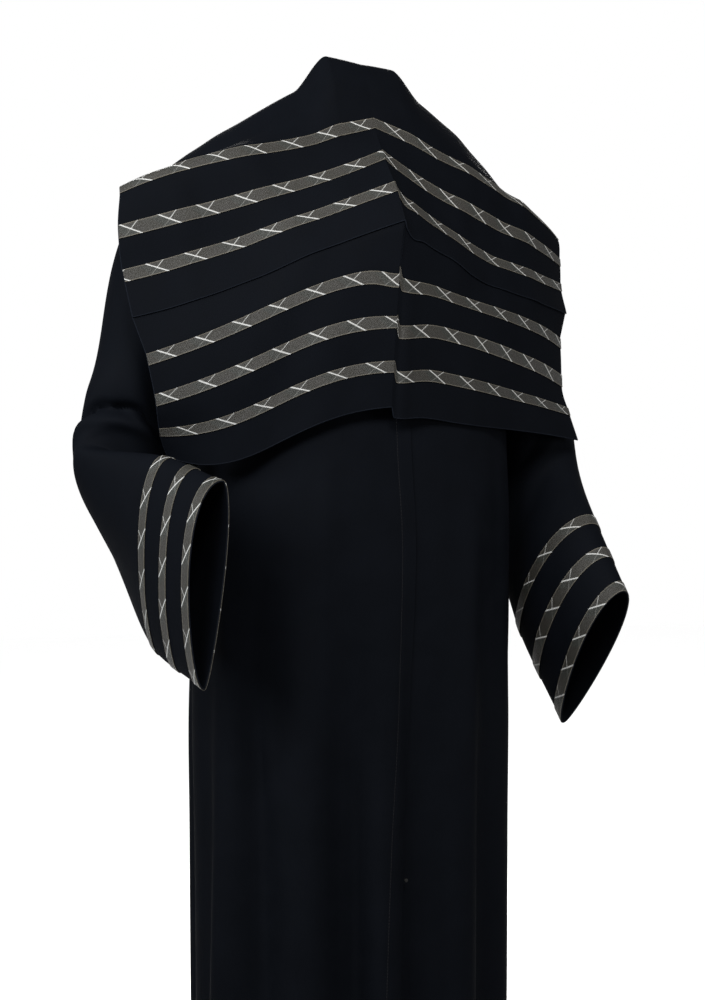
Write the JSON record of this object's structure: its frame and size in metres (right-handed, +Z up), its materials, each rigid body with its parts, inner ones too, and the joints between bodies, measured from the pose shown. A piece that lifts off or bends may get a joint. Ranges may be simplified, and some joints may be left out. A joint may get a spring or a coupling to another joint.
{
  "type": "worn open-front abaya with matching draped shoulder scarf",
  "caption": "Long black open-front robe holding its worn form, with wide trimmed sleeves and a matching two-tier trimmed scarf draped over the neck and shoulders.",
  "frame": {"origin": "middle of the neck's base, where the wearer's neck and shoulders hold the garment up", "axes": "+Z up from hem to neck, the open front faces -Y, the wearer's left is +X"},
  "size_m": [0.6472, 0.4283, 1.4415],
  "materials": {
    "crepe": "black crepe with a fine matt grain and a soft low sheen",
    "woven_trim": "bronze-grey woven ribbon with olive-gold edge threads and a repeated silvery crossed thread",
    "stud_metal": "small bright press stud"
  },
  "bodies": {
    "root": {"back": "crepe", "front_right": "crepe", "front_left": "crepe", "sleeve_right": "crepe", "sleeve_left": "crepe", "drape_upper_front": "crepe", "drape_back_fall": "crepe", "drape_lower_front": "crepe", "cuff_trim_right_1": "woven_trim", "cuff_trim_right_2": "woven_trim", "cuff_trim_right_3": "woven_trim", "cuff_trim_left_1": "woven_trim", "cuff_trim_left_2": "woven_trim", "cuff_trim_left_3": "woven_trim", "drape_trim_upper_1": "woven_trim", "drape_trim_upper_2": "woven_trim", "drape_trim_upper_3": "woven_trim", "drape_trim_lower_1": "woven_trim", "drape_trim_lower_2": "woven_trim", "drape_trim_lower_3": "woven_trim", "press_stud": "stud_metal"}
  },
  "joints": []
}
